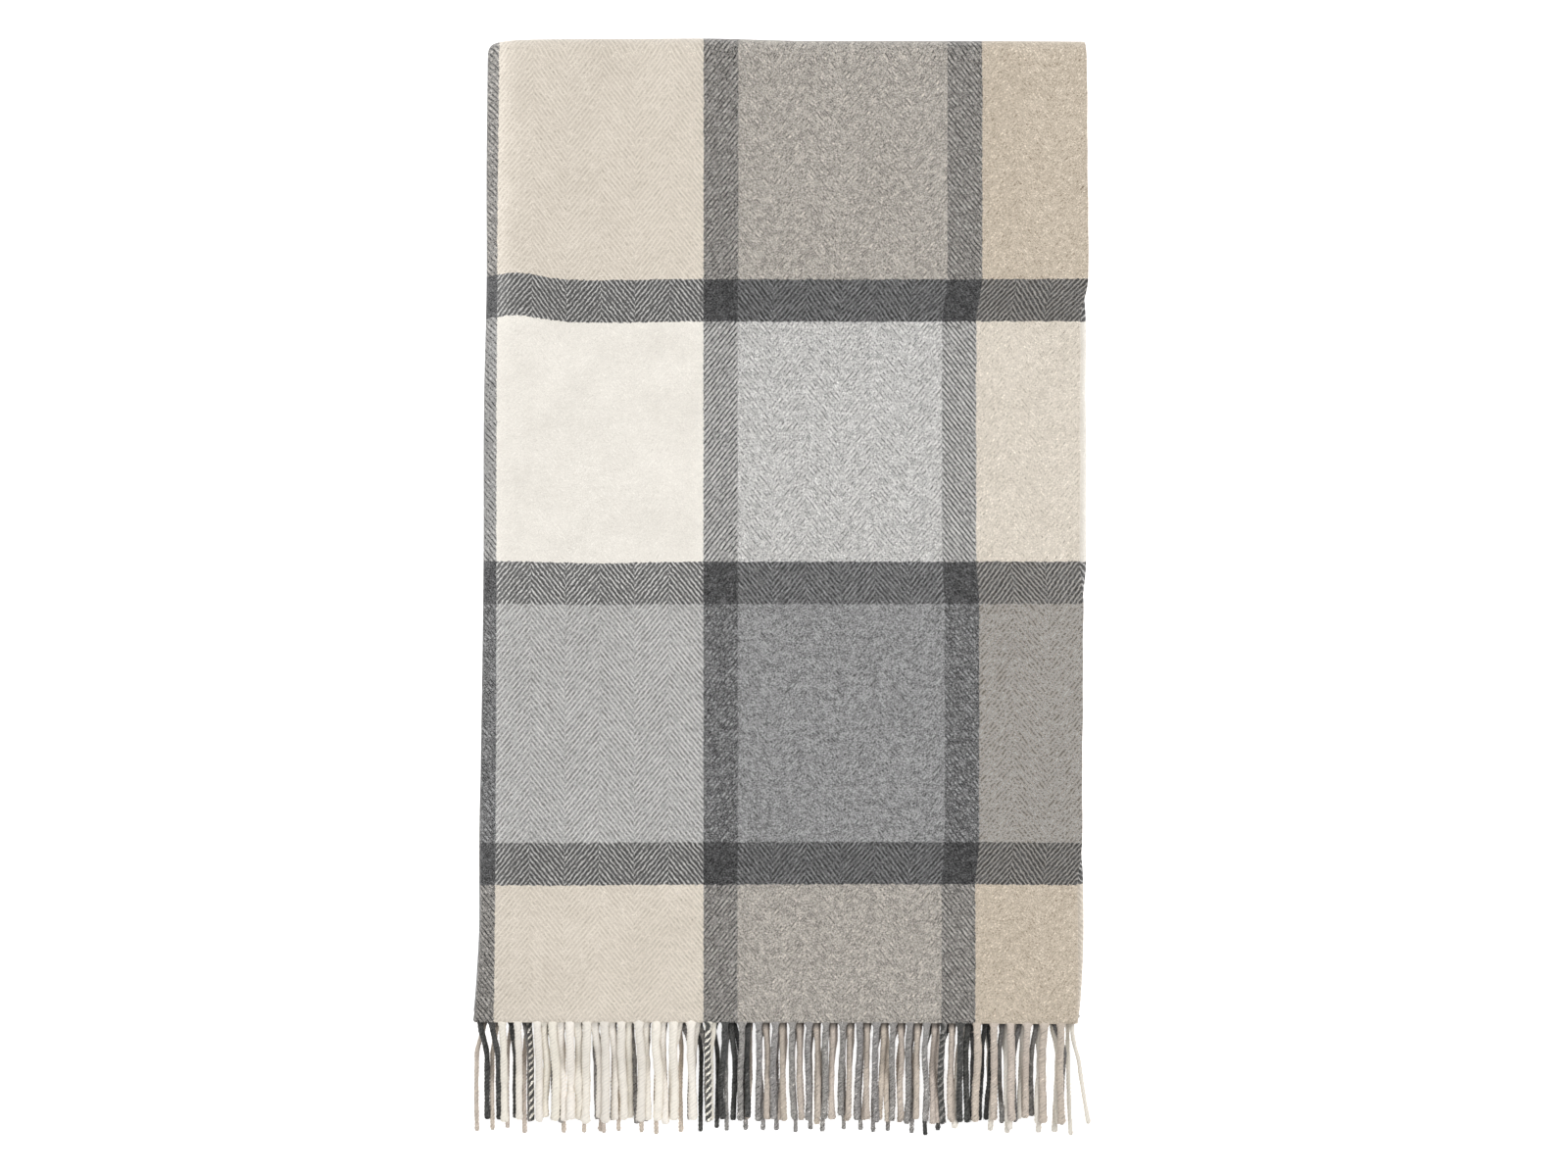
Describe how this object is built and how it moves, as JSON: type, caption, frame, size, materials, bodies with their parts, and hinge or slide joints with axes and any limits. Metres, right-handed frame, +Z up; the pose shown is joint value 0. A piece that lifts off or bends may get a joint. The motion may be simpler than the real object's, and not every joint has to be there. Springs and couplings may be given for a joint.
{
  "type": "folded throw blanket",
  "caption": "Plaid herringbone wool throw with a twisted fringe, folded into a long flat rectangle; its front panel opens about the top fold.",
  "frame": {"origin": "on the floor under the middle of the folded throw, fringe included", "axes": "+Y from the fringe to the top fold (the long way), +X from the soft double fold on the left to the selvedges on the right, +Z up through the layers"},
  "size_m": [0.35, 0.632, 0.0248],
  "materials": {
    "cloth": "matt wool, herringbone twill plaid in cream, grey and beige with charcoal stripes",
    "cloth_stripe": "matt wool, the charcoal stripe that the left folds run along",
    "fringe_cream": "matt twisted wool",
    "fringe_grey": "matt twisted wool, flecked",
    "fringe_beige": "matt twisted wool",
    "fringe_charcoal": "matt twisted wool, flecked"
  },
  "bodies": {
    "folded_base": {"back_inner_left_fold": "cloth_stripe", "back_leaf_1": "cloth", "back_leaf_2": "cloth", "back_leaf_3": "cloth", "back_leaf_4": "cloth", "back_outer_left_fold": "cloth_stripe", "back_right_fold": "cloth", "bottom_fold_1": "cloth", "bottom_fold_2": "cloth", "bottom_fold_3": "cloth", "bottom_fold_4": "cloth", "top_fold_1": "cloth", "top_fold_2": "cloth", "top_fold_3": "cloth", "top_fold_4": "cloth", "tucked_fringe_1_a_cream": "fringe_cream", "tucked_fringe_1_b_grey": "fringe_grey", "tucked_fringe_1_c_beige": "fringe_beige", "tucked_fringe_2_a_cream": "fringe_cream", "tucked_fringe_2_b_beige": "fringe_beige", "tucked_fringe_2_c_grey": "fringe_grey", "tucked_fringe_3_a_grey": "fringe_grey", "tucked_fringe_3_b_beige": "fringe_beige", "tucked_fringe_3_c_cream": "fringe_cream", "tucked_fringe_4_a_beige": "fringe_beige", "tucked_fringe_4_b_grey": "fringe_grey", "tucked_fringe_4_c_cream": "fringe_cream", "tucked_inner_left_fold": "cloth_stripe", "tucked_leaf_1": "cloth", "tucked_leaf_2": "cloth", "tucked_leaf_3": "cloth", "tucked_leaf_4": "cloth", "tucked_outer_left_fold": "cloth_stripe", "tucked_right_fold": "cloth"},
    "front_panel": {"front_fringe_1_a_charcoal": "fringe_charcoal", "front_fringe_1_b_cream": "fringe_cream", "front_fringe_1_c_charcoal": "fringe_charcoal", "front_fringe_1_d_grey": "fringe_grey", "front_fringe_1_e_charcoal": "fringe_charcoal", "front_fringe_1_f_beige": "fringe_beige", "front_fringe_2_a_cream": "fringe_cream", "front_fringe_2_b_beige": "fringe_beige", "front_fringe_2_c_grey": "fringe_grey", "front_fringe_3_a_grey": "fringe_grey", "front_fringe_3_b_beige": "fringe_beige", "front_fringe_3_c_cream": "fringe_cream", "front_fringe_4_a_beige": "fringe_beige", "front_fringe_4_b_grey": "fringe_grey", "front_fringe_4_c_cream": "fringe_cream", "front_inner_left_fold": "cloth_stripe", "front_leaf_1": "cloth", "front_leaf_2": "cloth", "front_leaf_3": "cloth", "front_leaf_4": "cloth", "front_outer_left_fold": "cloth_stripe", "front_right_fold": "cloth"}
  },
  "joints": [
    {"name": "front_panel_unfold", "type": "hinge", "parent": "folded_base", "child": "front_panel", "pos_m": [0, 0.31679, 0.0124], "axis": [-1, 0, 0], "range_deg": [0, 180], "deforming": ["top_fold_1", "top_fold_2", "top_fold_3", "top_fold_4"]}
  ]
}
